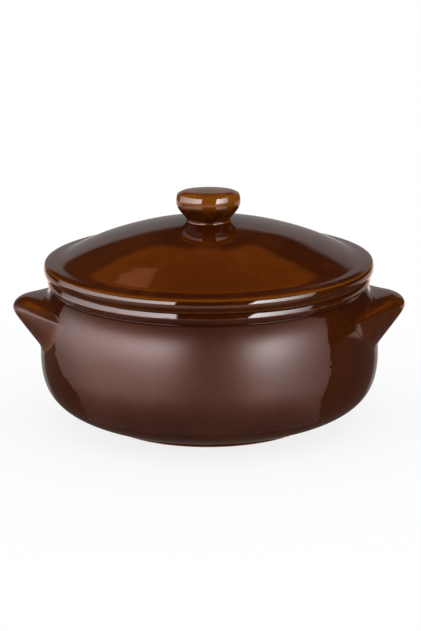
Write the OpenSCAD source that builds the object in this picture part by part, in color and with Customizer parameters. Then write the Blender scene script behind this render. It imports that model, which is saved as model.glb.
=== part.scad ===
// Round glazed stoneware pot with two lug handles and a domed lid that lifts off.
// The pot stands on the plane z = 0 with its axis on Z, and the lugs lie along X.

/* [Pot] */
// Diameter of the collar that carries the lid
collar_d = 215; // [180:1:260]
// Height from the table to the rim
pot_h = 101; // [90:1:130]
// How far the belly stands out past the collar at its widest
belly_out = 5.5; // [3:0.5:14]
// Height of the widest line of the belly above the table
belly_z = 41.5; // [34:0.5:50]
// How far the neck, the waist below the collar, is drawn in behind it
neck_in = 1.5; // [0.5:0.1:4]
// Depth of the neck below the rim
neck_drop = 11.5; // [9:0.5:16]
// Height of the straight part of the collar, rim rounding included
collar_h = 4.5; // [3:0.5:7]
// Thickness of the collar at the rim
rim_t = 7.5; // [6:0.5:9]
// Radius of the rounded edges of the rim
rim_edge = 1.2; // [0.6:0.1:2]
// Thickness of the belly wall
wall_t = 6.5; // [5:0.5:9]
// Thickness of the floor
floor_t = 7; // [5:0.5:10]

/* [Foot ring] */
// Outside diameter of the foot ring
foot_d = 143; // [120:1:160]
// Width of the foot ring where it stands on the table
foot_w = 7; // [5:0.5:10]
// Height of the foot ring
foot_h = 2.5; // [1.5:0.5:5]
// Radius of the rounded edges of the foot ring
foot_edge = 0.8; // [0.4:0.1:1.2]

/* [Lug handles] */
// How far the tip of a lug stands out past the belly
lug_out = 18; // [13:0.5:28]
// Depth of the tip line of a lug below the rim
lug_drop = 23.2; // [20:0.1:32]
// Rise of the flat top of a lug above its tip line
lug_rise = 7.5; // [5:0.1:9]
// Length over which the top rounds down to the tip
lug_nose = 12; // [6:0.5:16]
// Radius of the tip seen from above
lug_tip_r = 25; // [15:1:35]
// How far the sides of a lug run in under the belly's skin
lug_bite = 1; // [0.6:0.1:3]
// Radius of the tip seen from the front, on its underside
lug_under_r = 3.4; // [2:0.1:6]
// Slope of the underside of a lug, in degrees
lug_under_angle = 49.8; // [42:0.1:56]

/* [Lid] */
// How far the lip of the lid stands out past the collar
lip_out = 2.5; // [2:0.1:6]
// Height from the rim of the pot to the seat of the knob
dome_h = 34.8; // [28:0.1:42]
// Thickness of the lip at its edge, from its lowest point up
lip_t = 8.5; // [7:0.5:11]
// Width of the lip from its edge to the foot of the dome
lip_w = 9.5; // [7:0.5:14]
// Radius of the lip's upper edge
lip_edge = 4.2; // [2:0.1:5]
// Radius of the lip's lower edge
lip_under_edge = 0.8; // [0.4:0.1:1]
// Overhang of the lip below the rim of the pot
lip_drop = 0.6; // [0.3:0.1:1.5]
// Thickness of the dome
lid_t = 6.5; // [5:0.5:8]
// Depth of the ring below the lid that keeps it on the pot
ring_h = 6; // [4:0.5:12]
// Thickness of that ring
ring_t = 5; // [4:0.5:7]

/* [Knob] */
// Diameter of the knob at its widest
knob_d = 42.8; // [34:0.2:50]
// Diameter of the knob's neck on the lid
knob_neck_d = 28.8; // [22:0.2:32]
// Height of the knob
knob_h = 21.3; // [18:0.1:28]
// Height of the crown of the knob above its widest line
knob_crown = 6.8; // [5:0.1:9]

/* [Fits] */
// Space between the rim and the seat of the lid
seat_gap = 0.3; // [0.2:0.1:0.6]
// Space between the lid's ring and the mouth of the pot
ring_gap = 1; // [0.6:0.1:2]
// Space between the collar and the overhang of the lip
lip_gap = 0.8; // [0.5:0.1:1.2]

/* [Hidden] */

// Steps of a long curve, of a short one and of a rounded edge
long_steps = 14;
short_steps = 6;
edge_steps = 4;
$fn = 96;

// Pot: radii and heights that follow from the sizes above
collar_r = collar_d / 2;
belly_r = collar_r + belly_out;
neck_r = collar_r - neck_in;
neck_z = pot_h - neck_drop;
collar_z = pot_h - collar_h;
foot_r = foot_d / 2;
mouth_r = collar_r - rim_t;
floor_z = foot_h + floor_t;
belly_in_r = belly_r - wall_t;

// Shares that shape the outline of the pot
low_start_share = 0.7; // reach of the low curve along the floor, of the belly's overhang
low_tilt_share = 0.25; // its rise, of its own reach
low_end_share = 0.6; // how far the low curve stays upright under the widest line
high_start_share = 0.96; // how far the wall stays upright above the widest line
high_end_share = 0.13; // how far it stays upright below the neck
collar_blend_share = 0.45; // handles of the soft step from the neck to the collar
floor_share = 0.8; // radius of the flat floor, of the foot ring's
floor_curve_share = 0.55; // handles of the curve from the floor to the inside wall
mouth_depth_share = 1.15; // depth of the straight mouth, of the neck's depth

// Lid: radii and heights
lid_r = collar_r + lip_out;
seat_z = pot_h + seat_gap;
lip_z = seat_z - seat_gap - lip_drop;
lip_top_z = lip_z + lip_t;
lip_in_r = collar_r + lip_gap;
dome_r = lid_r - lip_w;
dome_z = pot_h + dome_h;
ring_r = mouth_r - ring_gap;
ring_in_r = ring_r - ring_t;
knob_neck_r = knob_neck_d / 2;

// Shares that shape the dome and the hollow under it
dome_start_share = 0.33; // length of the handle beside the knob, of the dome's span
dome_start_fall_share = 0.106; // its fall, of the dome's rise
dome_end_share = 0.25; // length of the handle at the lip, of the dome's span
dome_end_rise_share = 0.496; // its rise, of the dome's rise
dome_in_share = 0.38; // level stretch at the crown of the hollow, of its radius
dome_wall_share = 0.65; // height of the hollow's upright foot, of the lid's thickness

// Knob: shares that shape its outline
knob_r = knob_d / 2;
knob_wide_z = knob_h - knob_crown;
knob_side_share = 0.42; // upright stretch below the widest line, of its height
knob_cone_share = 0.4; // straight cone above the neck, of its height
knob_cone_slope_share = 0.58; // widening of that cone, of its height
knob_crown_side_share = 0.7; // upright stretch above the widest line
knob_crown_top_share = 0.62; // level stretch of the crown, of the radius

// Lugs: place of the tip, and rings of points from the tip inwards
lug_reach = belly_r + lug_out;
lug_z = pot_h - lug_drop;
lug_rings = 12;
lug_sides = 28;
lug_top_power = 2.3; // roundness of the upper half of a section
lug_low_power = 3; // roundness of the lower half

// Point at share t of the cubic curve with the four control points p
function bezier(p, t) =
    p[0] * pow(1 - t, 3) + p[1] * 3 * t * pow(1 - t, 2)
    + p[2] * 3 * t * t * (1 - t) + p[3] * pow(t, 3);

// The curve's points after its first one
function curve(p, steps) = [for (i = [1:steps]) bezier(p, i / steps)];

// Points of a round corner about c, after its first one
function corner(c, r, from, to) =
    [for (i = [1:edge_steps]) let (a = from + (to - from) * i / edge_steps) c + r * [cos(a), sin(a)]];

// Outside of the pot, from the edge of the foot ring up to the rim
function pot_outside() =
    let (over = belly_r - foot_r, low = belly_z - foot_h, high = neck_z - belly_z)
    concat(
        [[foot_r - foot_edge, 0]],
        corner([foot_r - foot_edge, foot_edge], foot_edge, -90, 0),
        [[foot_r, foot_h]],
        curve([[foot_r, foot_h],
               [foot_r + over * low_start_share, foot_h + over * low_start_share * low_tilt_share],
               [belly_r, belly_z - low * low_end_share],
               [belly_r, belly_z]], long_steps),
        curve([[belly_r, belly_z],
               [belly_r, belly_z + high * high_start_share],
               [neck_r, neck_z - high * high_end_share],
               [neck_r, neck_z]], long_steps),
        curve([[neck_r, neck_z],
               [neck_r, neck_z + (collar_z - neck_z) * collar_blend_share],
               [collar_r, collar_z - (collar_z - neck_z) * collar_blend_share],
               [collar_r, collar_z]], short_steps),
        [[collar_r, pot_h - rim_edge]],
        corner([collar_r - rim_edge, pot_h - rim_edge], rim_edge, 0, 90));

// Inside of the pot, from the rim down to the middle of the floor
function pot_inside() =
    let (mouth_z = pot_h - neck_drop * mouth_depth_share,
         high = mouth_z - belly_z, low = belly_z - floor_z,
         floor_r = foot_r * floor_share, span = belly_in_r - floor_r)
    concat(
        [[mouth_r + rim_edge, pot_h]],
        corner([mouth_r + rim_edge, pot_h - rim_edge], rim_edge, 90, 180),
        [[mouth_r, mouth_z]],
        curve([[mouth_r, mouth_z],
               [mouth_r, mouth_z - high * high_end_share],
               [belly_in_r, belly_z + high * high_start_share],
               [belly_in_r, belly_z]], long_steps),
        curve([[belly_in_r, belly_z],
               [belly_in_r, belly_z - low * low_end_share],
               [floor_r + span * floor_curve_share, floor_z],
               [floor_r, floor_z]], long_steps),
        [[0, floor_z]]);

// Underside, from the middle of the floor out to the foot ring
function pot_under() =
    let (foot_in_r = foot_r - foot_w)
    concat(
        [[0, foot_h], [foot_in_r, foot_h]],
        corner([foot_in_r + foot_edge, foot_edge], foot_edge, 180, 270));

module pot_body() {
    color([0.36, 0.17, 0.11])
        rotate_extrude()
            polygon(concat(pot_outside(), pot_inside(), pot_under()));
}

// The space that the pot fills from outside, which the lugs are cut to
module pot_block() {
    rotate_extrude()
        polygon(concat(pot_outside(), [[0, pot_h], [0, 0]]));
}

// Seen from above, a lug is an arc at the tip and two straight sides that touch a circle
// just under the belly's skin at the height of the tip
lug_root_r = lookup(lug_z, [for (p = pot_outside()) if (p[1] > foot_h) [p[1], p[0]]]) - lug_bite;
lug_tip_x = lug_reach - lug_tip_r;
lug_turn = acos((lug_root_r - lug_tip_r) / lug_tip_x);
lug_depth = lug_reach - lug_root_r * cos(lug_turn);

// Half width, height above and depth below the tip line at distance t from the tip
function lug_half_w(t) =
    let (arc = lug_tip_r * (1 - cos(lug_turn)))
    t < arc ? sqrt(t * (2 * lug_tip_r - t))
            : lug_tip_r * sin(lug_turn) + (t - arc) / tan(lug_turn);
function lug_up(t) = lug_rise * sqrt(1 - pow(1 - min(t / lug_nose, 1), 2));
function lug_down(t) = sqrt(pow(tan(lug_under_angle) * t, 2) + 2 * lug_under_r * t);

// One point of a section: a rounded upper half and a rounder lower one
function lug_point(t, angle) =
    let (up = sin(angle) >= 0,
         power = up ? lug_top_power : lug_low_power,
         h = up ? lug_up(t) : lug_down(t),
         c = abs(cos(angle)), s = abs(sin(angle)))
    [lug_reach - t,
     sign(cos(angle)) * pow(c, 2 / power) * lug_half_w(t),
     lug_z + sign(sin(angle)) * pow(s, 2 / power) * h];

module lug() {
    rings = [for (i = [1:lug_rings], k = [0:lug_sides - 1])
                 lug_point(lug_depth * pow(i / lug_rings, 2), 360 * k / lug_sides)];
    last = len(rings);
    back = last - lug_sides;
    faces = concat(
        [for (k = [0:lug_sides - 1]) [last, (k + 1) % lug_sides, k]],
        [for (i = [0:lug_rings - 2], k = [0:lug_sides - 1])
             let (a = i * lug_sides, b = a + lug_sides, n = (k + 1) % lug_sides)
             each [[a + k, a + n, b + n], [a + k, b + n, b + k]]],
        [[for (k = [0:lug_sides - 1]) back + k]]);
    difference() {
        polyhedron(concat(rings, [[lug_reach, 0, lug_z]]), faces);
        pot_block();
    }
}

module lug_right() {
    color([0.33, 0.14, 0.04])
        lug();
}

module lug_left() {
    color([0.33, 0.14, 0.04])
        rotate([0, 0, 180])
            lug();
}

// Upper side of the lid, from the knob's seat out to the edge of the lip
function lid_top() =
    let (span = dome_r - knob_neck_r, rise = dome_z - lip_top_z)
    concat(
        [[0, dome_z], [knob_neck_r, dome_z]],
        curve([[knob_neck_r, dome_z],
               [knob_neck_r + span * dome_start_share, dome_z - rise * dome_start_fall_share],
               [dome_r - span * dome_end_share, lip_top_z + rise * dome_end_rise_share],
               [dome_r, lip_top_z]], long_steps),
        [[lid_r - lip_edge, lip_top_z]],
        corner([lid_r - lip_edge, lip_top_z - lip_edge], lip_edge, 90, 0));

// Underside of the lid, from the edge of the lip in to the axis
function lid_under() =
    let (wall_z = seat_z + lid_t * dome_wall_share, top_z = dome_z - lid_t, rise = top_z - wall_z)
    concat(
        [[lid_r, lip_z + lip_under_edge]],
        corner([lid_r - lip_under_edge, lip_z + lip_under_edge], lip_under_edge, 0, -90),
        [[lip_in_r, lip_z], [lip_in_r, seat_z], [ring_r, seat_z],
         [ring_r, seat_z - ring_h], [ring_in_r, seat_z - ring_h], [ring_in_r, wall_z]],
        curve([[ring_in_r, wall_z],
               [ring_in_r * (1 - dome_end_share), wall_z + rise * dome_end_rise_share],
               [ring_in_r * dome_in_share, top_z],
               [0, top_z]], long_steps));

module lid() {
    color([0.36, 0.16, 0.03])
        rotate_extrude()
            polygon(concat(lid_top(), lid_under()));
}

module lid_knob() {
    cone_h = knob_wide_z * knob_cone_share;
    cone_r = knob_neck_r + cone_h * knob_cone_slope_share;
    color([0.45, 0.21, 0.04])
        translate([0, 0, dome_z])
            rotate_extrude()
                polygon(concat(
                    [[0, 0], [knob_neck_r, 0]],
                    curve([[knob_neck_r, 0],
                           [cone_r, cone_h],
                           [knob_r, knob_wide_z * (1 - knob_side_share)],
                           [knob_r, knob_wide_z]], long_steps),
                    curve([[knob_r, knob_wide_z],
                           [knob_r, knob_wide_z + knob_crown * knob_crown_side_share],
                           [knob_r * knob_crown_top_share, knob_h],
                           [0, knob_h]], long_steps)));
}

pot_body();
lug_left();
lug_right();
lid();
lid_knob();
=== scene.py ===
import math
import bpy
import numpy as np
from mathutils import Matrix, Vector, noise


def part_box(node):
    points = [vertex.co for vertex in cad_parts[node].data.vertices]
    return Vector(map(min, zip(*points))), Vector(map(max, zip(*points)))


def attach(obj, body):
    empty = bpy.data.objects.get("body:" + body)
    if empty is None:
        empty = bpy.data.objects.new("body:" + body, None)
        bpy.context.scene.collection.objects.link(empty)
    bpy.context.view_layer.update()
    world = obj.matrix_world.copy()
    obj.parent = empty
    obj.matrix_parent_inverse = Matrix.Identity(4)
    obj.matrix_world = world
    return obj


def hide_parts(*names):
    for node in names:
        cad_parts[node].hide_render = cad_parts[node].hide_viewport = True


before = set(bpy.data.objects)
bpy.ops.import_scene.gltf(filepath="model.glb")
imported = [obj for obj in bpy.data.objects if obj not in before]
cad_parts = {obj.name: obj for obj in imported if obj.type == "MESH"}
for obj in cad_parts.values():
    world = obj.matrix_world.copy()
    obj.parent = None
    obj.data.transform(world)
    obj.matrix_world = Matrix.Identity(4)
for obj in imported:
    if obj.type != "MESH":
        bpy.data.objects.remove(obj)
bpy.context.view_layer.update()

mm = 0.001


# Camera

shot = {
    "distance": 2004,     # from the aim point to the lens
    "aimHeight": 90.8,    # the aim point is on the pot's axis
    "elevation": 14.63,   # how far the camera looks down
    "roll": -0.45,        # the photographed pot leans a little to the left
    "lens": 171.2,
    "shiftX": 0.0025,
    "shiftY": -0.0479,
    "seesTo": 50000,      # how far the camera sees
}


def setCamera():
    tilt = math.radians(shot["elevation"])
    cam = bpy.data.objects.new("shotCamera", bpy.data.cameras.new("shotCamera"))
    bpy.context.collection.objects.link(cam)
    away = Vector((0, -math.cos(tilt), math.sin(tilt))) * shot["distance"] * mm
    place = Matrix.Translation(Vector((0, 0, shot["aimHeight"] * mm)) + away)
    down = Matrix.Rotation(math.pi / 2 - tilt, 4, "X")
    roll = Matrix.Rotation(math.radians(shot["roll"]), 4, "Z")
    cam.matrix_world = place @ (down @ roll)
    cam.data.lens = shot["lens"]
    cam.data.shift_x = shot["shiftX"]
    cam.data.shift_y = shot["shiftY"]
    cam.data.clip_end = shot["seesTo"] * mm
    bpy.context.scene.camera = cam


setCamera()
print("camera set")


# Curves and turned shapes

handleShare = 0.36     # length of a curve's handles, as a share of the span between two marks
axisR = 1e-6           # a smaller radius is a point on the axis
leastSquare = 1e-12    # least squared length of an edge, so that no division meets zero
bendRounds = 6


def curvePoints(a, b, c, d, steps):
    points = []
    for i in range(1, steps + 1):
        t = i / steps
        points.append(tuple(
            p * (1 - t) ** 3 + q * 3 * t * (1 - t) ** 2 + r * 3 * t * t * (1 - t) + s * t ** 3
            for p, q, r, s in zip(a, b, c, d)))
    return points


def cornerPoints(centre, radius, start, end, steps):
    points = []
    for i in range(1, steps + 1):
        a = math.radians(start + (end - start) * i / steps)
        points.append((centre[0] + radius * math.cos(a), centre[1] + radius * math.sin(a)))
    return points


def linePoints(a, b, steps):
    return [tuple(p + (q - p) * i / steps for p, q in zip(a, b)) for i in range(1, steps + 1)]


# Runs through (radius, height, slope) marks, climbing inwards. The slope is in degrees from level.
def slopePoints(path, steps):
    points = []
    for (r0, z0, slope0), (r1, z1, slope1) in zip(path, path[1:]):
        reach = math.hypot(r1 - r0, z1 - z0) * handleShare
        a, b = math.radians(slope0), math.radians(slope1)
        points += curvePoints((r0, z0), (r0 - reach * math.cos(a), z0 + reach * math.sin(a)),
                              (r1 + reach * math.cos(b), z1 - reach * math.sin(b)), (r1, z1), steps)
    return points


def sizesOf(node):
    low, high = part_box(node)
    return {"r": high[0] / mm, "low": low[2] / mm, "high": high[2] / mm}


def meshPiece(name, points, faces):
    mesh = bpy.data.meshes.new(name)
    mesh.from_pydata([(x * mm, y * mm, z * mm) for x, y, z in points], [], faces)
    mesh.validate()
    mesh.shade_smooth()
    piece = bpy.data.objects.new(name, mesh)
    bpy.context.collection.objects.link(piece)
    return piece


# Turns an outline of (radius, height) points, which starts and ends on the axis, about Z.
# wobble(x, y, z) moves a point outwards and up, as a hand-finished wall is never quite true.
def turnedPiece(name, outline, segments, wobble):
    points, faces, first = [], [], []
    for r, z in outline:
        first.append(len(points))
        if r < axisR:
            points.append((0, 0, z))
            continue
        for k in range(segments):
            a = 2 * math.pi * k / segments
            x, y = r * math.cos(a), r * math.sin(a)
            out, up = wobble(x, y, z)
            points.append((x * (1 + out / r), y * (1 + out / r), z + up))
    for i in range(len(outline) - 1):
        a, b = first[i], first[i + 1]
        for k in range(segments):
            n = (k + 1) % segments
            if outline[i][0] < axisR:
                faces.append((a, b + n, b + k))
            elif outline[i + 1][0] < axisR:
                faces.append((a + k, a + n, b))
            else:
                faces.append((a + k, a + n, b + n, b + k))
    return meshPiece(name, points, faces)


# Stores how sharply the surface bends at each point, from -1 in a groove to 1 on an edge.
# Glaze runs thin on edges and gathers in grooves, and the glaze nodes read this.
def storeBends(piece, reach=1.0):
    mesh = piece.data
    count = len(mesh.vertices)
    co = np.empty(count * 3)
    mesh.vertices.foreach_get("co", co)
    co = co.reshape(-1, 3)
    normal = np.empty(count * 3)
    mesh.vertex_normals.foreach_get("vector", normal)
    normal = normal.reshape(-1, 3)
    ends = np.empty(len(mesh.edges) * 2, int)
    mesh.edges.foreach_get("vertices", ends)
    a, b = ends.reshape(-1, 2).T
    step = co[a] - co[b]
    bend = ((normal[a] - normal[b]) * step).sum(1) / np.maximum((step ** 2).sum(1), leastSquare)
    bend = np.clip(bend * reach * mm, -1, 1)
    total, share = np.zeros(count), np.zeros(count)
    for end in (a, b):
        np.add.at(total, end, bend)
        np.add.at(share, end, 1)
    value = total / np.maximum(share, 1)
    # each round mixes a point half and half with the mean of its neighbours
    for _ in range(bendRounds):
        total = np.zeros(count)
        np.add.at(total, a, value[b])
        np.add.at(total, b, value[a])
        value = 0.5 * value + 0.5 * total / np.maximum(share, 1)
    layer = mesh.attributes.new("bend", "FLOAT", "POINT")
    layer.data.foreach_set("value", value.astype(np.float32))


def storeShare(piece, name, shareAt):
    layer = piece.data.attributes.new(name, "FLOAT", "POINT")
    layer.data.foreach_set("value", [shareAt(*(v.co / mm)) for v in piece.data.vertices])


def ease(value, low, high):
    t = min(max((value - low) / (high - low), 0), 1)
    return t * t * (3 - 2 * t)


# Pot

potSize = sizesOf("pot_body")
lidSize = sizesOf("lid")
knobSize = sizesOf("lid_knob")
lugSize = sizesOf("lug_right")

pot = {
    "bellyR": potSize["r"],
    "bellyZ": 46,
    "underRun": 0.7,        # the underside runs out from the foot over this share of the overhang
    "underSlope": 0.25,
    "underFull": 0.65,      # fullness of the belly below its widest line
    "shoulderFull": 0.62,   # and above it
    "shoulderRun": 11,      # handle of the shoulder, down its slope from the neck
    "neckIn": 8.2,          # the neck, drawn in from the belly
    "neckDrop": 9.5,        # neck below the rim
    "neckTilt": 33,         # slope of the shoulder at the neck, in degrees from upright
    "creaseH": 0.15,
    "creaseOut": 0.06,
    "rimZ": potSize["high"],
    "collarIn": 5.5,        # the collar, drawn in from the belly
    "collarH": 4.9,
    "collarFoot": 0.2,      # the collar stands out a little at its lower edge
    # the rounding of that edge, then the handles of the band above it, all out and up
    "collarEdge": [(-0.14, -0.35), (-0.02, -0.08), (0.02, 0.06), (-0.03, 0.3)],
    "bandLow": (-0.16, 1.8),
    "bandHigh": (0.7, -1.3),
    "rimIn": 1.9,           # middle of the rim's outer rounding, in from the collar
    "rimFall": 28,          # where the rounding starts, in degrees above level
    "rimWall": 7.5,
    "rimEdge": 1.2,
    "mouthDrop": 13.2,      # depth of the straight mouth
    "wall": 6.5,
    "floor": 9.5,           # height of the floor inside
    "floorShare": 0.8,      # radius of the flat floor, as a share of the foot's
    "insideNeck": 0.13,     # handles of the inside, as shares of its height and width
    "insideShoulder": 0.96,
    "insideBelly": 0.6,
    "insideFloor": 0.55,
    "footR": 71.5,
    "footH": 2.5,
    "footWall": 7,
    "footEdge": 0.8,
    "segments": 320,
    "unevenDepth": 0.16,    # how far the wall is out of true
    "unevenSize": 48,
    "unevenSeed": 11.3,
    "trueRim": 2,           # the wall stays true this near the top of the rim
    "trueMouth": 1,         # and this near the mouth
    "bareFoot": (0.3, 1.1),     # the foot is bare below the first height and glazed above the second
    "bareRim": (0.3, 0.05),     # the rim is glazed below the first drop and bare above the second
    "bareIn": 1.6,          # the bare ring on the rim, in from its edges
    "satinRight": 44,       # where the satin ends, in degrees from the front
    "satinLeft": 63,
    "lowRight": 4,          # it ends sooner low on the belly, by these angles
    "lowLeft": 14.4,
    "lowZ": (34, 56),       # fully so below the first height, and not at all above the second
    "satinTop": 96.5,
    "sideSoft": 14,         # softness of its ends in degrees, and of its top
    "topSoft": 6,
    "patch": (47, 92.5),    # bright patch under the collar: its angle and height
    "patchSize": (12, 4.2),
    "patchDepth": 0.9,
    "insideIn": 2,          # there is no satin this far in from the collar's face
    "drySide": (20, 46),    # the satin gets drier between these angles, on the right
}
mouthR = pot["bellyR"] - pot["collarIn"] - pot["rimWall"]


def potOutside():
    bellyR, bellyZ, footR, footH = pot["bellyR"], pot["bellyZ"], pot["footR"], pot["footH"]
    neckR, neckZ = bellyR - pot["neckIn"], pot["rimZ"] - pot["neckDrop"]
    collarR, collarZ = bellyR - pot["collarIn"], pot["rimZ"] - pot["collarH"]
    over, low, high = bellyR - footR, bellyZ - footH, neckZ - bellyZ
    edge, footEdge = pot["rimEdge"], pot["footEdge"]
    points = [(footR - footEdge, 0)]
    points += cornerPoints((footR - footEdge, footEdge), footEdge, -90, 0, 5)
    points += linePoints((footR, footEdge), (footR, footH), 3)
    run = over * pot["underRun"]
    points += curvePoints((footR, footH), (footR + run, footH + run * pot["underSlope"]),
                          (bellyR, bellyZ - low * pot["underFull"]), (bellyR, bellyZ), 40)
    run, crease, tilt = pot["shoulderRun"], pot["creaseH"], math.radians(pot["neckTilt"])
    nearNeck = (neckR + crease * math.sin(tilt), neckZ - crease * math.cos(tilt))
    points += curvePoints((bellyR, bellyZ), (bellyR, bellyZ + high * pot["shoulderFull"]),
                          (neckR + run * math.sin(tilt), neckZ - run * math.cos(tilt)), nearNeck, 48)
    # sharp crease at the neck, the slanted underside of the collar, then its band
    points += [(neckR, neckZ), (neckR + pot["creaseOut"], neckZ + crease)]
    outR = collarR + pot["collarFoot"]
    start, *turn = [(outR + x, collarZ + z) for x, z in pot["collarEdge"]]
    points += linePoints(points[-1], start, 5)
    points += curvePoints(points[-1], *turn, 4)
    corner, fall = (collarR - pot["rimIn"], pot["rimZ"] - edge), math.radians(pot["rimFall"])
    top = (corner[0] + edge * math.cos(fall), corner[1] + edge * math.sin(fall))
    (lowX, lowZ), (highX, highZ) = pot["bandLow"], pot["bandHigh"]
    points += curvePoints(points[-1], (outR + lowX, collarZ + lowZ),
                          (top[0] + highX, top[1] + highZ), top, 10)
    points += cornerPoints(corner, edge, pot["rimFall"], 90, 6)
    return points


def potInside():
    rimZ, bellyZ, edge = pot["rimZ"], pot["bellyZ"], pot["rimEdge"]
    mouthZ, floorZ = rimZ - pot["mouthDrop"], pot["floor"]
    innerR, floorR = pot["bellyR"] - pot["wall"], pot["footR"] * pot["floorShare"]
    high, low, span = mouthZ - bellyZ, bellyZ - floorZ, innerR - floorR
    points = linePoints((mouthR + pot["rimWall"] - edge, rimZ), (mouthR + edge, rimZ), 5)
    points += cornerPoints((mouthR + edge, rimZ - edge), edge, 90, 180, 6)
    points += linePoints((mouthR, rimZ - edge), (mouthR, mouthZ), 6)
    points += curvePoints((mouthR, mouthZ), (mouthR, mouthZ - high * pot["insideNeck"]),
                          (innerR, bellyZ + high * pot["insideShoulder"]), (innerR, bellyZ), 24)
    points += curvePoints((innerR, bellyZ), (innerR, bellyZ - low * pot["insideBelly"]),
                          (floorR + span * pot["insideFloor"], floorZ), (floorR, floorZ), 24)
    points += linePoints((floorR, floorZ), (0, floorZ), 10)
    return points


def potUnder():
    inR, edge, footH = pot["footR"] - pot["footWall"], pot["footEdge"], pot["footH"]
    points = [(0, footH)] + linePoints((0, footH), (inR - edge, footH), 10)
    points += cornerPoints((inR - edge, footH - edge), edge, 90, 0, 4)
    points += cornerPoints((inR + edge, edge), edge, 180, 270, 5)
    points += linePoints((inR + edge, 0), (pot["footR"] - edge, 0), 4)
    return points


# Slow waves with finer ones on them. The seed picks the place in the noise that they come from.
def unevenWall(depth, size, seed):
    shift = Vector((seed, -seed, 0.37 * seed))
    fineDepth, fineTimes = 0.3 * depth, 3.1

    def wobble(x, y, z):
        place = Vector((x, y, z)) / size + shift
        return depth * noise.noise(place) + fineDepth * noise.noise(place * fineTimes), 0
    return wobble


def makePot():
    # the outline starts at the middle of the floor's underside and ends at the middle of the floor
    outline = potUnder()[:-1] + potOutside() + potInside()
    uneven = unevenWall(pot["unevenDepth"], pot["unevenSize"], pot["unevenSeed"])
    trueZ, trueR = pot["rimZ"] - pot["trueRim"], mouthR + pot["trueMouth"]

    def wobble(x, y, z):
        if z > trueZ or z < pot["footH"] or math.hypot(x, y) < trueR:
            return 0, 0
        return uneven(x, y, z)

    piece = turnedPiece("glazedPot", outline, pot["segments"], wobble)
    storeBends(piece)
    ringIn, ringOut = mouthR + pot["bareIn"], mouthR + pot["rimWall"] - pot["bareIn"]
    glazedZ, bareZ = (pot["rimZ"] - drop for drop in pot["bareRim"])

    # bare clay where the foot stands and where the lid rests
    def bareAt(x, y, z):
        onFoot = 1 - ease(z, *pot["bareFoot"])
        onRim = ease(z, glazedZ, bareZ) * (ringIn < math.hypot(x, y) < ringOut)
        return max(onFoot, onRim)

    (patchSide, patchZ), (patchWide, patchHigh) = pot["patch"], pot["patchSize"]

    # Satin between the lugs and below the collar, but for a bright patch on either side.
    # The share passes one half where the bright glaze starts.
    def satinAt(x, y, z):
        if math.hypot(x, y) < mouthR + pot["rimWall"] - pot["insideIn"]:
            return 0
        side, low = math.degrees(math.atan2(x, abs(y))), 1 - ease(z, *pot["lowZ"])
        right = (pot["satinRight"] - pot["lowRight"] * low - side) / pot["sideSoft"]
        left = (pot["satinLeft"] - pot["lowLeft"] * low + side) / pot["sideSoft"]
        top = (pot["satinTop"] - z) / pot["topSoft"]
        patch = 1 - ((abs(side) - patchSide) / patchWide) ** 2 - ((z - patchZ) / patchHigh) ** 2
        share = 0.5 + min(right, left, top) - pot["patchDepth"] * max(patch, 0)
        return min(max(share, 0), 1)

    def dryAt(x, y, z):
        return ease(math.degrees(math.atan2(x, -y)), *pot["drySide"])

    storeShare(piece, "bare", bareAt)
    storeShare(piece, "satin", satinAt)
    storeShare(piece, "dry", dryAt)
    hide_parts("pot_body")
    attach(piece, "pot")
    return piece


potPiece = makePot()
print("pot turned")


# Lugs

lug = {
    "reach": lugSize["r"],
    "tipZ": 77.8,
    "nose": 12,            # length over which the top rounds down to the tip
    "tipR": 25,            # radius of the tip seen from above
    "bite": 1,             # how far the sides run in under the belly's skin
    "underR": 3.4,         # radius of the tip seen from the front, on its underside
    "underAngle": 49.8,    # slope of the underside
    "topPower": 2.05,      # squareness of the section above and below the tip line
    "lowPower": 2.5,
    "around": 128,         # lines round a lug, and points along each
    "along": 44,
    "longest": 60,         # every line meets the wall within this length
    "halvings": 40,
    "step": 0.05,          # steps back from there to where the fillet starts
    "filletSteps": 16,
    "filletPull": 0.42,    # handles of the fillet, as a share of its length
    "topFillet": 3.2,      # how far the root spreads on the wall, at the top, the sides and below
    "sideFillet": 7.5,
    "lowFillet": 3.2,
    "rootRim": [(0.5, -0.12), (0.9, -0.9)],    # further along the wall, and how far off its skin
    "rootIn": 3,           # the middle of its hidden end lies this deep in the wall
    "bendReach": 1.5,
    "satinTop": 82.5,
    "satinFront": 2,       # the satin ends this far in front of the middle
    "frontSoft": 10,       # softness of that end, and of its top
    "topSoft": 5,
}
lugRise = lugSize["high"] - lug["tipZ"]

wallPoints = [(z, r) for r, z in potOutside() if z >= pot["footH"]]


def wallR(z):
    for (z0, r0), (z1, r1) in zip(wallPoints, wallPoints[1:]):
        if z0 <= z <= z1 and z1 > z0:
            return r0 + (r1 - r0) * (z - z0) / (z1 - z0)
    return wallPoints[-1][1]


def wallNormal(p):
    slope = wallR(p.z + 0.5) - wallR(p.z - 0.5)    # over 1 mm of height
    r = math.hypot(p.x, p.y)
    return Vector((p.x / r, p.y / r, -slope)).normalized()


def onWall(p, lift=0.0):
    r = math.hypot(p.x, p.y)
    k = (wallR(p.z) + lift) / r
    return Vector((p.x * k, p.y * k, p.z))


rootR = wallR(lug["tipZ"]) - lug["bite"]
tipX = lug["reach"] - lug["tipR"]
lugTurn = math.acos((rootR - lug["tipR"]) / tipX)


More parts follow.
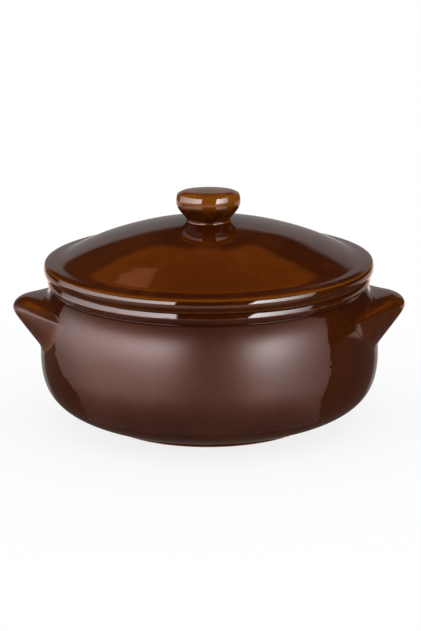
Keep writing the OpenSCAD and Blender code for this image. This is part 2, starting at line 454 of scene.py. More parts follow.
# A point on a lug: t is how far it is in from the tip, and the angle goes round the section.
def lugPoint(t, angle):
    arc = lug["tipR"] * (1 - math.cos(lugTurn))
    if t < arc:
        half = math.sqrt(max(t * (2 * lug["tipR"] - t), 0))
    else:
        half = lug["tipR"] * math.sin(lugTurn) + (t - arc) / math.tan(lugTurn)
    up = lugRise * math.sqrt(max(1 - (1 - min(t / lug["nose"], 1)) ** 2, 0))
    slope = math.tan(math.radians(lug["underAngle"]))
    down = math.sqrt((slope * t) ** 2 + 2 * lug["underR"] * t)
    c, s = math.cos(angle), math.sin(angle)
    power = lug["topPower"] if s >= 0 else lug["lowPower"]
    k = (abs(c) ** power + abs(s) ** power) ** (-1 / power)
    return Vector((lug["reach"] - t, c * k * half, lug["tipZ"] + s * k * (up if s >= 0 else down)))


def lugLine(angle):
    # where this line along the lug meets the wall
    near, far = 0, lug["longest"]
    for _ in range(lug["halvings"]):
        t = (near + far) / 2
        p = lugPoint(t, angle)
        if math.hypot(p.x, p.y) > wallR(p.z):
            near = t
        else:
            far = t
    root = lugPoint(near, angle)
    side = math.cos(angle) ** 2
    ends = lug["topFillet"] if math.sin(angle) > 0 else lug["lowFillet"]
    spread = side * lug["sideFillet"] + (1 - side) * ends
    # the fillet leaves the lug as far from the root as it then spreads on the wall
    leave = near
    while leave > 0 and (lugPoint(leave, angle) - root).length < spread:
        leave -= lug["step"]
    points = [lugPoint(leave * (i / lug["along"]) ** 2, angle) for i in range(1, lug["along"] + 1)]
    start = points[-1]
    heading = (lugPoint(leave, angle) - lugPoint(leave - 2 * lug["step"], angle)).normalized()
    normal = wallNormal(root)
    along = (heading - normal * heading.dot(normal)).normalized()
    end = onWall(root + along * spread)
    normal = wallNormal(end)
    along = (along - normal * along.dot(normal)).normalized()
    pull = (end - start).length * lug["filletPull"]
    for p in curvePoints(start, start + heading * pull, end - along * pull, end, lug["filletSteps"]):
        points.append(Vector(p))
    # the rim of the root sinks into the wall
    for further, lift in lug["rootRim"]:
        points.append(onWall(end + along * further, lift))
    return points


def makeLug(name, node, turn):
    lines = [lugLine(2 * math.pi * k / lug["around"]) for k in range(lug["around"])]
    rings = len(lines[0])
    points = [Vector((lug["reach"], 0, lug["tipZ"]))]
    for i in range(rings):
        points += [line[i] for line in lines]
    back = len(points)
    points.append(Vector((wallR(lug["tipZ"]) - lug["rootIn"], 0, lug["tipZ"])))
    faces = []
    for k in range(lug["around"]):
        n = (k + 1) % lug["around"]
        faces.append((0, 1 + n, 1 + k))
        for i in range(rings - 1):
            a, b = 1 + i * lug["around"], 1 + (i + 1) * lug["around"]
            faces.append((a + k, a + n, b + n, b + k))
        last = 1 + (rings - 1) * lug["around"]
        faces.append((last + k, last + n, back))
    spin = Matrix.Rotation(math.radians(turn), 3, "Z")
    piece = meshPiece(name, [spin @ p for p in points], faces)
    storeBends(piece, reach=lug["bendReach"])

    # the satin of the belly runs on over the front of the left lug
    def satinAt(x, y, z):
        front, top = (-y - lug["satinFront"]) / lug["frontSoft"], (lug["satinTop"] - z) / lug["topSoft"]
        return min(max(0.5 + min(front, top), 0), 1) * (turn > 90)

    storeShare(piece, "satin", satinAt)
    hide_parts(node)
    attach(piece, "pot")
    return piece


rightLug = makeLug("glazedLugRight", "lug_right", 0)
leftLug = makeLug("glazedLugLeft", "lug_left", 180)
print("lugs drawn out of the wall")


# Lid

lid = {
    "r": lidSize["r"],
    "domeZ": lidSize["high"],
    "domeFoot": (0.25, 0.496),    # handles of the dome at its foot and at the knob,
    "domeTop": (0.33, 0.106),     # as shares of its width and rise
    "footR": 92,             # where the dome runs out into the lip
    "lipT": 8.5,
    "lipW": 9.5,
    "lipLow": 100.4,
    "lipIn": 108.3,          # where the overhang meets the seat
    "lipUnder": (0.9, 0.3),  # the underside of the lip leaves its inner edge this far out and up
    "lipTurn": 2.8,          # and has turned upright this far above it
    "lipMarks": [(109.95, 104.4, 90), (109.25, 107.9, 66), (108, 108.65, 20), (100, 110.3, 14.5)],
    "seatZ": 101.3,
    "bareIn": 1,             # the bare ring on the seat, in from its two edges
    "bareOut": 0.5,
    "bareT": 0.1,            # only what is this near to the seat's height is bare
    "ringLow": lidSize["low"],
    "ringOut": 99,
    "ringT": 5,
    "ringEdge": 0.8,
    "wall": 6.5,
    "hollowEdge": 0.65,      # the hollow starts this share of the wall above the seat
    "hollowTop": 0.38,       # its handles, as shares of its radius and depth
    "hollowFoot": (0.75, 0.496),
    "knobR": 14.4,
    "segments": 320,
    "lean": 0.008,           # the lip stands a little higher at the front than at the back
    "leanFrom": 80,          # the lean grows between these two radii
    "leanTo": 100,
    "topLow": 108,           # the top lies above this, and on the lip this far above its lowest line
    "lipSide": 3,
    "unevenDepth": 0.14,
    "unevenSize": 55,
    "unevenSeed": 4.7,
    "lipUneven": 0.6,        # unevenness of the lip, as a share of the dome's
    "hollowDrop": (0.8, 25), # share of the wall that parts dome and hollow, and its fall to the edge
}


def lidOutline():
    topZ = lid["lipLow"] + lid["lipT"]
    domeR, domeZ, knobR = lid["r"] - lid["lipW"], lid["domeZ"], lid["knobR"]
    span, rise = domeR - knobR, domeZ - topZ
    ringIn, ringOut = lid["ringOut"] - lid["ringT"], lid["ringOut"]
    ringLow, seatZ, edge = lid["ringLow"], lid["seatZ"], lid["ringEdge"]
    wallZ, crownZ = seatZ + lid["wall"] * lid["hollowEdge"], domeZ - lid["wall"]
    # underside, from the crown out to the overhang
    footR, footZ = lid["hollowFoot"]
    points = [(0, crownZ)]
    points += curvePoints((0, crownZ), (ringIn * lid["hollowTop"], crownZ),
                          (ringIn * footR, wallZ + (crownZ - wallZ) * footZ), (ringIn, wallZ), 36)
    points += linePoints((ringIn, wallZ), (ringIn, ringLow + edge), 8)
    points += cornerPoints((ringIn + edge, ringLow + edge), edge, 180, 270, 4)
    points += linePoints((ringIn + edge, ringLow), (ringOut - edge, ringLow), 3)
    points += cornerPoints((ringOut - edge, ringLow + edge), edge, -90, 0, 4)
    points += linePoints((ringOut, ringLow + edge), (ringOut, seatZ), 6)
    points += linePoints((ringOut, seatZ), (lid["lipIn"], seatZ), 6)
    points += linePoints((lid["lipIn"], seatZ), (lid["lipIn"], lid["lipLow"]), 2)
    # rolled lip, from its underside round to the foot of the dome
    (lowX, lowZ), (highX, highZ) = lid["domeFoot"], lid["domeTop"]
    dome = curvePoints((domeR, topZ), (domeR - span * lowX, topZ + rise * lowZ),
                       (knobR + span * highX, domeZ - rise * highZ), (knobR, domeZ), 60)
    onDome = next(i for i, p in enumerate(dome) if p[0] < lid["footR"])
    foot, above = dome[onDome], dome[onDome + 1]
    fall = math.degrees(math.atan((foot[1] - above[1]) / (above[0] - foot[0])))
    low, face, (out, up) = (lid["lipIn"], lid["lipLow"]), lid["lipMarks"][0], lid["lipUnder"]
    points += curvePoints(low, (low[0] + out, low[1] + up), (face[0], low[1] + lid["lipTurn"]), face[:2], 10)
    points += slopePoints(lid["lipMarks"] + [(*foot, fall)], 9)
    points += dome[onDome + 1:]
    points += linePoints(dome[-1], (0, domeZ), 5)
    return points


def makeLid():
    uneven = unevenWall(lid["unevenDepth"], lid["unevenSize"], lid["unevenSeed"])
    lipSide, domeR = lid["lipLow"] + lid["lipSide"], lid["r"] - lid["lipW"]
    wallShare, edgeDrop = lid["hollowDrop"]

    # The top and the lip lean and are out of true. The seat and the ring stay level and true.
    def wobble(x, y, z):
        r = math.hypot(x, y)
        onTop = z > (lipSide if r > lid["leanTo"] else lid["topLow"])
        onLip = ease(r, lid["lipIn"], lid["lipIn"] + 1)
        lift = -y * lid["lean"] * max(ease(r, lid["leanFrom"], lid["leanTo"]) * onTop, onLip)
        if z < lipSide or r < lid["knobR"] + 1:
            return 0, lift
        push = uneven(x, y, z)[0]
        if r >= domeR:
            return lid["lipUneven"] * push, lift
        inHollow = z < lid["domeZ"] - wallShare * lid["wall"] - edgeDrop * (r / lid["r"]) ** 2
        return 0, (lift if inHollow else push + lift)

    piece = turnedPiece("glazedLid", lidOutline(), lid["segments"], wobble)
    storeBends(piece)
    bareIn, bareOut = lid["ringOut"] + lid["bareIn"], lid["lipIn"] - lid["bareOut"]

    # bare clay where the lid sits on the rim
    def bareAt(x, y, z):
        return float(abs(z - lid["seatZ"]) < lid["bareT"] and bareIn < math.hypot(x, y) < bareOut)

    storeShare(piece, "bare", bareAt)
    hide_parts("lid")
    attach(piece, "lid")
    return piece


lidPiece = makeLid()
print("lid turned")


# Knob

knob = {
    "r": knobSize["r"],
    "low": knobSize["low"],
    "high": knobSize["high"],
    "neckR": 14.4,
    "beadR": 0.6,           # roll of clay that fixes the knob to the lid
    "sink": 0.5,            # how far the bead sinks into the lid's glaze
    "beadFoot": 1.1,        # the bead's points, out from the neck and up from the lid, as shares of beadR
    "beadPoints": [(1.5, 0.5), (0.9, 1.5), (0.15, 1.6)],
    "beadTop": 2.2,
    "neckPoints": [(0.05, 1.75), (0.05, 1.9), (0.5, 2.6)],    # out in mm, and up as such shares
    "coneShare": 0.4,       # the neck opens like a cone over this share of its height
    "coneSlope": 0.58,
    "neckFull": 0.42,       # handles of the neck, as a share of its height
    "crown": 8.2,
    "crownSide": (0.7, 4.3, 73),    # in and up from the widest line, and the slope there
    "crownEdge": (2.5, 2.3, 30),    # in from the widest line and down from the top
    "crownTop": (0.5, 0.6, 7),      # share of the radius, and down from the top
    "lean": 0.08,           # the hand-set knob leans back a little
    "segments": 160,
    "beadDepth": 0.6,       # unevenness of the bead, outwards and upwards
    "beadRise": 0.25,
    "beadSize": 5.5,
    "beadSeed": (3.1, 7.7, 1.2),
    "unevenDepth": 0.12,
    "unevenSize": 17,
    "paintedSheen": (4.5, 2),      # painted reflection: lighter amber from this far below the widest line to this far above
    "sheenTop": (3.5, 0.5), # and it fades back towards the body colour between these drops from the top,
    "sheenLoss": 0.8,       # by this share
}


def knobOutline():
    r, low, high, neckR = knob["r"], knob["low"], knob["high"], knob["neckR"]
    wideZ, bead, sunk = high - knob["crown"], knob["beadR"], low - knob["sink"]
    tall = wideZ - low
    points = [(0, sunk), (neckR - 1, sunk), (neckR + bead * knob["beadFoot"], sunk)]
    points += curvePoints(points[-1], *[(neckR + bead * x, low + bead * z) for x, z in knob["beadPoints"]], 8)
    points += curvePoints(points[-1], *[(neckR + x, low + bead * z) for x, z in knob["neckPoints"]], 5)
    coneR, full = neckR + tall * knob["coneShare"] * knob["coneSlope"], tall * knob["neckFull"]
    points += curvePoints(points[-1], (coneR, low + full), (r, wideZ - full), (r, wideZ), 30)
    sideIn, sideUp, sideSlope = knob["crownSide"]
    edgeIn, edgeDrop, edgeSlope = knob["crownEdge"]
    topShare, topDrop, topSlope = knob["crownTop"]
    points += slopePoints([(r, wideZ, 90), (r - sideIn, wideZ + sideUp, sideSlope),
                           (r - edgeIn, high - edgeDrop, edgeSlope),
                           (r * topShare, high - topDrop, topSlope), (0, high, 0)], 9)
    return points


def makeKnob():
    low, high = knob["low"], knob["high"]
    beadTop, wideZ = low + knob["beadR"] * knob["beadTop"], high - knob["crown"]
    seed = Vector(knob["beadSeed"])

    def wobble(x, y, z):
        place = Vector((x, y, z)) / knob["beadSize"]
        atBead = 1 - ease(z, low, beadTop)
        push = knob["beadDepth"] * noise.noise(place + seed) * atBead
        push += knob["unevenDepth"] * noise.noise(Vector((x, y, z)) / knob["unevenSize"]) * (1 - atBead)
        up = knob["beadRise"] * noise.noise(place * 1.3) * atBead * (z > low)
        return push, up - y * knob["lean"] * ease(z, beadTop, wideZ)

    piece = turnedPiece("glazedKnob", knobOutline(), knob["segments"], wobble)
    storeBends(piece)
    (below, over), (topFrom, topTo) = knob["paintedSheen"], knob["sheenTop"]

    # painted reflection: lighter amber round and above the widest line, darker again near the top
    def paintedSheenAt(x, y, z):
        onTop = ease(z, high - topFrom, high - topTo)
        return ease(z, wideZ - below, wideZ + over) * (1 - knob["sheenLoss"] * onTop)

    storeShare(piece, "paintedSheen", paintedSheenAt)
    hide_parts("lid_knob")
    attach(piece, "lid")
    return piece


knobPiece = makeKnob()
print("knob turned and luted on")


# Glaze

glaze = {
    "body": (0.055, 0.0088, 0.0008),
    "thin": (0.21, 0.055, 0.004),
    "deep": (0.018, 0.0025, 0.0004),
    "clay": (0.42, 0.235, 0.125),
    "clayDark": (0.2, 0.1, 0.05),
    "runDraw": 0.22,            # runs are drawn out downwards
    "cloudShare": 0.6,          # the mottling is clouds and runs together
    "runShare": 0.4,
    "mottle": (0.42, 0.6),      # each pair is where a mask starts and where it is full
    "edge": (0.05, 0.32),
    "pool": (-0.06, -0.35),
    "bendShake": 0.12,          # how far the fine grain breaks up edges and pools
    "speck": (0.66, 0.74),
    "speckDepth": 0.35,
    "fineHeight": 0.5,
    "clayGrain": (0.35, 0.7, 0.55, 1.0),
    "clayEdge": (0.45, 0.6),
    "clayShake": 0.5,
    "clayRough": 0.8,
    "satinEdge": (0.44, 0.56),
    "satinShake": 0.55,
    "roughAt": (0.5, 1.0),      # the gloss is a little duller where the glaze stands higher
    "roughMore": 0.03,
}
# Scale, detail and roughness of each texture.
texture = {
    "clouds": (22, 3, 0.55),
    "runs": (75, 3, 0.6),
    "fine": (420, 2, 0.5),
    "speck": (1500, 1, 0.5),
    "clayGrain": (900, 4, 0.65),
    "clayDrift": (160, 2, 0.5),
    "satinDrift": (95, 3, 0.6),
}
nodesInRow = 8
nodeStep = (220, 320)


def newGroup(name, inputs, outputs):
    tree = bpy.data.node_groups.new(name, "ShaderNodeTree")
    kinds = {"value": "NodeSocketFloat", "colour": "NodeSocketColor"}
    for label, kind in inputs:
        tree.interface.new_socket(label, in_out="INPUT", socket_type=kinds[kind])
    for label, kind in outputs:
        tree.interface.new_socket(label, in_out="OUTPUT", socket_type=kinds[kind])
    return tree, addNode(tree, "NodeGroupInput"), addNode(tree, "NodeGroupOutput")


# Nodes are laid out in rows, in the order in which they are made.
def addNode(tree, kind, **values):
    row, column = divmod(len(tree.nodes), nodesInRow)
    node = tree.nodes.new(kind)
    node.location = (column * nodeStep[0], -row * nodeStep[1])
    for key, value in values.items():
        setattr(node, key, value)
    return node


def mathNode(tree, operation, a, b=None, clamp=False):
    node = addNode(tree, "ShaderNodeMath", operation=operation, use_clamp=clamp)
    for socket, value in zip(node.inputs, (a, b)):
        if isinstance(value, (int, float)):
            socket.default_value = value
        elif value is not None:
            tree.links.new(value, socket)
    return node.outputs[0]


def timesNode(tree, a, b, clamp=False):
    return mathNode(tree, "MULTIPLY", a, b, clamp)


# Moves a value up and down by a texture around one half, which breaks up an even edge.
def shakeNode(tree, value, drift, amount):
    off = mathNode(tree, "SUBTRACT", drift, 0.5)
    return mathNode(tree, "ADD", value, timesNode(tree, off, amount))


def rampNode(tree, value, low, high, outLow=0.0, outHigh=1.0):
    node = addNode(tree, "ShaderNodeMapRange", interpolation_type="SMOOTHSTEP")
    for label, number in (("From Min", low), ("From Max", high), ("To Min", outLow), ("To Max", outHigh)):
        node.inputs[label].default_value = number
    tree.links.new(value, node.inputs["Value"])
    return node.outputs["Result"]


def blendNode(tree, share, a, b):
    node = addNode(tree, "ShaderNodeMix", data_type="RGBA")
    for socket, value in zip((node.inputs[0], node.inputs[6], node.inputs[7]), (share, a, b)):
        if isinstance(value, (int, float)):
            socket.default_value = value
        elif isinstance(value, tuple):
            socket.default_value = (*value, 1)
        else:
            tree.links.new(value, socket)
    return node.outputs[2]


def noiseNode(tree, vector, scale, detail, rough):
    node = addNode(tree, "ShaderNodeTexNoise")
    node.inputs["Scale"].default_value = scale
    node.inputs["Detail"].default_value = detail
    node.inputs["Roughness"].default_value = rough
    tree.links.new(vector, node.inputs["Vector"])
    return node.outputs["Fac"]


# Colour of the fired glaze: thin and amber on edges, dark where it gathers, clouded and streaked between.
def makeGlazeFlow():
    tree, given, result = newGroup(
        "glazeFlow",
        [("Bend", "value"), ("Body", "colour"), ("Thin", "colour"), ("Deep", "colour"),
         ("Clouds", "value"), ("Edge", "value")],
        [("Colour", "colour"), ("Height", "value")])
    thin, deep = given.outputs["Thin"], given.outputs["Deep"]
    where = addNode(tree, "ShaderNodeTexCoord").outputs["Object"]
    drawn = addNode(tree, "ShaderNodeMapping")
    drawn.inputs["Scale"].default_value = (1, 1, glaze["runDraw"])
    tree.links.new(where, drawn.inputs["Vector"])
    clouds = noiseNode(tree, where, *texture["clouds"])
    runs = noiseNode(tree, drawn.outputs[0], *texture["runs"])
    fine = noiseNode(tree, where, *texture["fine"])
    speck = noiseNode(tree, where, *texture["speck"])
    mottle = mathNode(tree, "ADD", timesNode(tree, clouds, glaze["cloudShare"]),
                      timesNode(tree, runs, glaze["runShare"]))
    light = rampNode(tree, mottle, *glaze["mottle"])
    amount = timesNode(tree, light, given.outputs["Clouds"])
    colour = blendNode(tree, amount, given.outputs["Body"], thin)
    bend = shakeNode(tree, given.outputs["Bend"], fine, glaze["bendShake"])
    edge = rampNode(tree, bend, *glaze["edge"])
    edge = timesNode(tree, edge, given.outputs["Edge"], clamp=True)
    pool = rampNode(tree, bend, *glaze["pool"])
    colour = blendNode(tree, edge, colour, thin)
    colour = blendNode(tree, pool, colour, deep)
    dots = rampNode(tree, speck, *glaze["speck"])
    dots = timesNode(tree, dots, glaze["speckDepth"])
    colour = blendNode(tree, dots, colour, deep)
    raised = timesNode(tree, fine, glaze["fineHeight"])
    tree.links.new(colour, result.inputs["Colour"])
    tree.links.new(mathNode(tree, "ADD", raised, clouds), result.inputs["Height"])
    return tree


# Bare fired clay: its colour, and the mask where the glaze stops with a soft uneven line.
def makeBareClay():
    tree, given, result = newGroup(
        "bareClay", [("Bare", "value"), ("Clay", "colour"), ("Dark", "colour")],
        [("Mask", "value"), ("Colour", "colour"), ("Height", "value")])
    where = addNode(tree, "ShaderNodeTexCoord").outputs["Object"]
    grain = noiseNode(tree, where, *texture["clayGrain"])
    drift = noiseNode(tree, where, *texture["clayDrift"])
    bare = shakeNode(tree, given.outputs["Bare"], drift, glaze["clayShake"])
    light = rampNode(tree, grain, *glaze["clayGrain"])
    colour = blendNode(tree, light, given.outputs["Dark"], given.outputs["Clay"])
    tree.links.new(rampNode(tree, bare, *glaze["clayEdge"]), result.inputs["Mask"])
    tree.links.new(colour, result.inputs["Colour"])
    tree.links.new(grain, result.inputs["Height"])
    return tree


glazeFlow = makeGlazeFlow()
bareClay = makeBareClay()


def groupNode(tree, group, **values):
    node = addNode(tree, "ShaderNodeGroup", node_tree=group)
    for label, value in values.items():
        socket = node.inputs[label]
        socket.default_value = (*value, 1) if isinstance(value, tuple) else value
    return node


def attributeNode(tree, name):
    return addNode(tree, "ShaderNodeAttribute", attribute_name=name).outputs["Fac"]


# Where the satin glaze meets the bright one: the stored share, broken up into an uneven border.
def makeSatinBorder():
    tree, given, result = newGroup("satinBorder", [("Share", "value")], [("Mask", "value")])
    where = addNode(tree, "ShaderNodeTexCoord").outputs["Object"]
    drift = noiseNode(tree, where, *texture["satinDrift"])
    share = shakeNode(tree, given.outputs["Share"], drift, glaze["satinShake"])
    tree.links.new(rampNode(tree, share, *glaze["satinEdge"]), result.inputs["Mask"])
    return tree


satinBorder = makeSatinBorder()


# One glazed material. Its flags say which stored shares the piece has: satin, bare, the knob's painted
# reflection, and dry.
def glazedMaterial(name, look, satin=False, bare=False, paintedSheen=False, dry=False):
    material = bpy.data.materials.new(name)
    material.use_nodes = True
    tree = material.node_tree
    shader = tree.nodes["Principled BSDF"]
    flow = groupNode(tree, glazeFlow, Body=look["body"], Thin=look["thin"],
                     Deep=look["deep"], Clouds=look["clouds"], Edge=look["edge"])
    tree.links.new(attributeNode(tree, "bend"), flow.inputs["Bend"])
    colour, height = flow.outputs["Colour"], flow.outputs["Height"]
    # the knob's painted reflection: its body colour is blended towards a lighter amber
    if paintedSheen:
        share = attributeNode(tree, "paintedSheen")
        tree.links.new(blendNode(tree, share, look["body"], look["paintedSheen"]), flow.inputs["Body"])
    rough = rampNode(tree, height, *glaze["roughAt"], look["rough"], look["rough"] + glaze["roughMore"])
    if satin:
        border = groupNode(tree, satinBorder)
        tree.links.new(attributeNode(tree, "satin"), border.inputs["Share"])
        more = look["satinRough"] - look["rough"]
        if dry:
            share = attributeNode(tree, "dry")
            drier = timesNode(tree, share, look["dryRough"])
            more = mathNode(tree, "ADD", drier, more)
        more = timesNode(tree, border.outputs["Mask"], more)
        rough = mathNode(tree, "ADD", rough, more)
    if bare:
        clay = groupNode(tree, bareClay, Clay=glaze["clay"], Dark=glaze["clayDark"])
        mask = clay.outputs["Mask"]
        tree.links.new(attributeNode(tree, "bare"), clay.inputs["Bare"])
        colour = blendNode(tree, mask, colour, clay.outputs["Colour"])
        rough = mathNode(tree, "MAXIMUM", rough, timesNode(tree, mask, glaze["clayRough"]))
        height = mathNode(tree, "ADD", height, timesNode(tree, mask, clay.outputs["Height"]))
    tree.links.new(colour, shader.inputs["Base Color"])
    tree.links.new(rough, shader.inputs["Roughness"])
    shader.inputs["IOR"].default_value = look["ior"]
    bump = addNode(tree, "ShaderNodeBump")
    bump.inputs["Strength"].default_value = 1
    bump.inputs["Distance"].default_value = look["ripple"] * mm
    tree.links.new(height, bump.inputs["Height"])
    tree.links.new(bump.outputs[0], shader.inputs["Normal"])
    return material


# What the glazed pieces share, then each one's own.
anyLook = {"body": glaze["body"], "thin": glaze["thin"], "deep": glaze["deep"], "ior": 1.5, "ripple": 0.03}
potLook = {**anyLook, "clouds": 0.10, "edge": 0.25, "rough": 0.04, "satinRough": 0.34, "dryRough": 0.18}
lugLook = {**anyLook, "body": (0.075, 0.0135, 0.001), "clouds": 0.25, "edge": 0.8,
           "rough": 0.05, "satinRough": 0.33}
lidLook = {**anyLook, "clouds": 0.14, "edge": 1, "rough": 0.035}
# the knob's lighter amber is a painted reflection
knobLook = {**anyLook, "thin": (0.3, 0.09, 0.007), "paintedSheen": (0.3, 0.085, 0.006), "clouds": 0.3,
            "edge": 0.6, "rough": 0.035}

potPiece.data.materials.append(glazedMaterial("satinBellyGlaze", potLook, satin=True, bare=True, dry=True))
lugGlaze = glazedMaterial("lugGlaze", lugLook, satin=True)
for piece in (leftLug, rightLug):
    piece.data.materials.append(lugGlaze)
lidPiece.data.materials.append(glazedMaterial("lidGlaze", lidLook, bare=True))
knobPiece.data.materials.append(glazedMaterial("knobGlaze", knobLook, paintedSheen=True))
print("pieces glazed")


# Studio

# Directions are in degrees: across from the front, right positive, and up from the table.
# A pair of directions is where a tone starts and where it is full.
studio = {
    "fill": 0.85,                    # soft light from all round, on the colours only
    "fillBelow": 0.45,
    "fillTurn": 0.25,                # it fades from one to the other across the horizon
    "dark": 0.015,
    "wall": (0.30, 0.30, 0.30),      # grey wall behind, seen in the gloss
    "wallSides": (150, 158),
    "wallFoot": (-26, -20),
    "wallTop": 18,
    "wallRise": 9,                   # the wall stands higher straight behind the pot
    "wallBehind": (165, 176),
    "wallRight": 5,                  # and a little higher on the right
    "rightFrom": (140, 148),
    "rightTo": (170, 163),
    "leftLean": 1.4,                 # its left side leans, above this height
    "leftLeanUp": 8,
    "ceiling": (0.65, 0.155, 0.02),  # warm ceiling
    "ceilingGap": 17,                # dark strip between wall and ceiling
    "ceilingBehind": (-0.1, 0.15),   # the ceiling starts overhead and is full further back
    "ceilingLight": (30, 75, 0.8, 1.4),    # and it is lighter higher up
    "soft": 2.5,                     # half the width of the edges of wall and ceiling
}
# The gloss sees the table lit in front of the pot and behind it. The camera sees a plain pale floor.
table = {
    "colour": (0.85, 0.6, 0.5),
    "shade": 0.1,                    # its light in the shade of the pot
    "turn": 0.25,                    # the edge of the light in front runs askew
    "front": (-70, -150),            # each pair is where the light starts and where it is full
    "behind": (120, 170),
    "foot": (170, 320),
    "far": (1000, 700),
    "size": 9000,
    "grey": (0.2, 0.2, 0.2),         # the floor's own colour, roughness and glow
    "rough": 0.9,
    "glow": 0.83,
}
# White paper on the table in front of the pot, which lights the lid's lip and the knob from below.
paper = {"wide": 1200, "near": 265, "far": 800, "height": 3, "radiance": (0.8, 0.3, 0.1)}
softboxes = {
    "right": {
        "across": 53.5, "up": 5.5, "halfWide": 23.5, "halfHigh": 12.5,
        "lean": -0.25, "slope": 0, "soft": 1.2, "fade": -0.75, "radiance": (9.9, 9.5, 9.8),
    },
    "left": {
        "across": -74.5, "up": 5, "halfWide": 51.5, "halfHigh": 13,
        "lean": 0, "slope": 0.06, "soft": 1.2, "fade": 0.85, "radiance": (6.6, 5.8, 5.9),
    },
    "tent": {
        "across": -154.5, "up": 50.9, "halfWide": 8, "halfHigh": 6,
        "lean": 0.8, "slope": 0.75, "soft": 0.8, "fade": 0, "radiance": (0.74, 0.28, 0.15),
    },
}


# Light on the table, which only the gloss sees: in front of the pot and behind it,
# dark at the sides and close to its foot.
def addTableLight(tree):
    where = addNode(tree, "ShaderNodeTexCoord").outputs["Object"]
    reach = addNode(tree, "ShaderNodeVectorMath", operation="LENGTH")
    tree.links.new(where, reach.inputs[0])
    parts = addNode(tree, "ShaderNodeSeparateXYZ")
    tree.links.new(where, parts.inputs[0])
    x, y = parts.outputs[:2]
    front, behind, foot, far = (
        [edge * mm for edge in table[key]] for key in ("front", "behind", "foot", "far"))
    ahead = mathNode(tree, "ADD", y, timesNode(tree, x, table["turn"]))
    both = mathNode(tree, "MAXIMUM", rampNode(tree, ahead, *front), rampNode(tree, y, *behind))
    near = timesNode(tree, both, rampNode(tree, reach.outputs["Value"], *foot))
    near = mathNode(tree, "MAXIMUM", near, table["shade"])
    lit = timesNode(tree, near, rampNode(tree, reach.outputs["Value"], *far))
    sheen = addNode(tree, "ShaderNodeEmission")
    sheen.inputs["Color"].default_value = (*table["colour"], 1)
    tree.links.new(lit, sheen.inputs["Strength"])
    through = addNode(tree, "ShaderNodeBsdfTransparent")
    seen = addNode(tree, "ShaderNodeAddShader")
    tree.links.new(sheen.outputs[0], seen.inputs[0])
    tree.links.new(through.outputs[0], seen.inputs[1])
    return seen.outputs[0]


def makeFloor():
    half = table["size"] / 2
    floor = meshPiece("studioFloor", [(-half, -half, 0), (half, -half, 0), (half, half, 0), (-half, half, 0)],
                      [(0, 1, 2, 3)])
    material = bpy.data.materials.new("paleFloor")
    material.use_nodes = True
    tree = material.node_tree
    shader = tree.nodes["Principled BSDF"]
    shader.inputs["Base Color"].default_value = (*table["grey"], 1)
    shader.inputs["Roughness"].default_value = table["rough"]
    shader.inputs["Specular IOR Level"].default_value = 0
    shader.inputs["Emission Color"].default_value = (1, 1, 1, 1)
    shader.inputs["Emission Strength"].default_value = table["glow"]
    rays = addNode(tree, "ShaderNodeLightPath")
    pick = addNode(tree, "ShaderNodeMixShader")
    tree.links.new(rays.outputs["Is Glossy Ray"], pick.inputs[0])
    tree.links.new(shader.outputs[0], pick.inputs[1])
    tree.links.new(addTableLight(tree), pick.inputs[2])
    tree.links.new(pick.outputs[0], tree.nodes["Material Output"].inputs["Surface"])
    floor.data.materials.append(material)
    floor.visible_diffuse = False


def addPaper(receivers):
    near, far, strength = paper["near"], paper["far"], max(paper["radiance"])
    light = bpy.data.lights.new("frontPaper", "AREA")
    light.shape = "RECTANGLE"
    light.size, light.size_y = paper["wide"] * mm, (far - near) * mm
    light.energy = strength * math.pi * light.size * light.size_y
    light.color = [part / strength for part in paper["radiance"]]
    holder = bpy.data.objects.new("frontPaper", light)
    bpy.context.collection.objects.link(holder)
    place = Matrix.Translation(Vector((0, -(near + far) / 2, paper["height"])) * mm)
    holder.matrix_world = place @ Matrix.Rotation(math.pi, 4, "X")
    holder.visible_camera = False
    holder.visible_diffuse = False
    lit = bpy.data.collections.new("frontPaperLights")
    for piece in receivers:
        lit.objects.link(piece)
    holder.light_linking.receiver_collection = lit


softboxKeys = {
    "Middle Across": "across", "Middle Up": "up", "Half Wide": "halfWide", "Half High": "halfHigh",
    "Lean": "lean", "Slope": "slope", "Soft": "soft", "Fade": "fade",
}


# Share of a softbox seen in one direction: a rectangle in degrees, with leaning sides and soft edges.
# Fade makes it brighter towards one end.
def makeSoftbox():
    labels = ["Across", "Up", *softboxKeys]
    tree, given, result = newGroup(
        "softboxShare", [(label, "value") for label in labels], [("Mask", "value")])
    got = given.outputs
    side = mathNode(tree, "SUBTRACT", got["Across"], got["Middle Across"])
    rise = mathNode(tree, "SUBTRACT", got["Up"], got["Middle Up"])
    u = mathNode(tree, "ADD", side, timesNode(tree, rise, got["Lean"]))
    v = mathNode(tree, "SUBTRACT", rise, timesNode(tree, side, got["Slope"]))
    edges = []
    for offset, half in ((u, got["Half Wide"]), (v, got["Half High"])):
        inside = mathNode(tree, "SUBTRACT", half, mathNode(tree, "ABSOLUTE", offset))
        inside = mathNode(tree, "DIVIDE", inside, got["Soft"])
        edges.append(mathNode(tree, "ADD", inside, 0.5, clamp=True))
    share = timesNode(tree, *edges)
    along = mathNode(tree, "DIVIDE", u, got["Half Wide"])
    along = timesNode(tree, along, got["Fade"])
    share = timesNode(tree, share, mathNode(tree, "ADD", along, 1))
    tree.links.new(share, result.inputs["Mask"])
    return tree


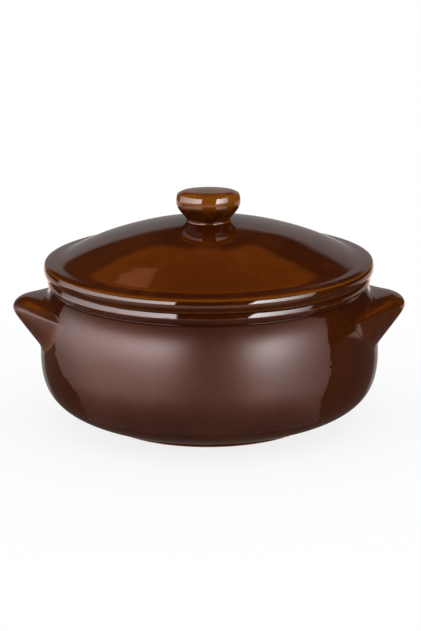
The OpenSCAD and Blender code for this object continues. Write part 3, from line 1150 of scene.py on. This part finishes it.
# Grey wall behind the pot, a dark strip over it, then the ceiling.
def addWallAndCeiling(tree, across, up, back):
    soft, gap, base = studio["soft"], studio["ceilingGap"], studio["wallTop"]
    aside = mathNode(tree, "ABSOLUTE", across)
    top = rampNode(tree, aside, *studio["wallBehind"], base, base + studio["wallRise"])
    right = timesNode(tree, rampNode(tree, across, *studio["rightFrom"]),
                      rampNode(tree, aside, *studio["rightTo"], 0, studio["wallRight"]))
    top = mathNode(tree, "ADD", top, right)
    over = mathNode(tree, "SUBTRACT", up, top)
    high = mathNode(tree, "SUBTRACT", up, studio["leftLeanUp"])
    high = mathNode(tree, "MAXIMUM", high, 0)
    left = mathNode(tree, "LESS_THAN", across, 0)
    left = timesNode(tree, left, studio["leftLean"])
    side = mathNode(tree, "SUBTRACT", aside, timesNode(tree, high, left))
    wall = timesNode(tree, rampNode(tree, over, soft, -soft), rampNode(tree, side, *studio["wallSides"]))
    wall = timesNode(tree, wall, rampNode(tree, up, *studio["wallFoot"]))
    ceiling = timesNode(tree, rampNode(tree, over, gap - soft, gap + soft),
                        rampNode(tree, back, *studio["ceilingBehind"]))
    light = rampNode(tree, up, *studio["ceilingLight"])
    ceiling = timesNode(tree, ceiling, light)
    gloss = blendNode(tree, wall, (studio["dark"],) * 3, studio["wall"])
    return blendNode(tree, ceiling, gloss, studio["ceiling"])


# Adds one softbox to the light that the gloss sees.
def addSoftbox(tree, group, name, box, across, up, gloss):
    node = addNode(tree, "ShaderNodeGroup", node_tree=group, label=name)
    for label, key in softboxKeys.items():
        node.inputs[label].default_value = box[key]
    tree.links.new(across, node.inputs["Across"])
    tree.links.new(up, node.inputs["Up"])
    strength = max(box["radiance"])
    lit = addNode(tree, "ShaderNodeMix", data_type="RGBA", clamp_factor=False)
    lit.inputs[6].default_value = (0, 0, 0, 1)
    lit.inputs[7].default_value = (*[part / strength for part in box["radiance"]], 1)
    tree.links.new(node.outputs["Mask"], lit.inputs[0])
    scaled = addNode(tree, "ShaderNodeVectorMath", operation="SCALE")
    scaled.inputs["Scale"].default_value = strength
    tree.links.new(lit.outputs[2], scaled.inputs[0])
    added = addNode(tree, "ShaderNodeVectorMath", operation="ADD")
    tree.links.new(gloss, added.inputs[0])
    tree.links.new(scaled.outputs[0], added.inputs[1])
    return added.outputs[0]


def makeWorld():
    world = bpy.data.worlds.new("studio")
    bpy.context.scene.world = world
    world.use_nodes = True
    tree = world.node_tree
    tree.nodes.clear()
    rays = addNode(tree, "ShaderNodeLightPath")
    where = addNode(tree, "ShaderNodeTexCoord").outputs["Generated"]
    parts = addNode(tree, "ShaderNodeSeparateXYZ")
    tree.links.new(where, parts.inputs[0])
    x, y, z = parts.outputs
    forward = timesNode(tree, y, -1)
    across = mathNode(tree, "ARCTAN2", x, forward)
    across = timesNode(tree, across, 180 / math.pi)
    up = timesNode(tree, mathNode(tree, "ARCSINE", z), 180 / math.pi)
    gloss = addWallAndCeiling(tree, across, up, y)
    softbox = makeSoftbox()
    for name, box in softboxes.items():
        gloss = addSoftbox(tree, softbox, name, box, across, up, gloss)
    turn = studio["fillTurn"]
    fill = rampNode(tree, z, -turn, turn, studio["fillBelow"], studio["fill"])
    pick = blendNode(tree, rays.outputs["Is Glossy Ray"], fill, gloss)
    pick = blendNode(tree, rays.outputs["Is Camera Ray"], pick, (1.0, 1.0, 1.0))
    sky = addNode(tree, "ShaderNodeBackground")
    tree.links.new(pick, sky.inputs["Color"])
    result = addNode(tree, "ShaderNodeOutputWorld")
    tree.links.new(sky.outputs[0], result.inputs["Surface"])
    world.cycles.sampling_method = "NONE"


makeFloor()
makeWorld()
addPaper((lidPiece, knobPiece))
bpy.context.scene.view_settings.view_transform = "Standard"
print("studio set")
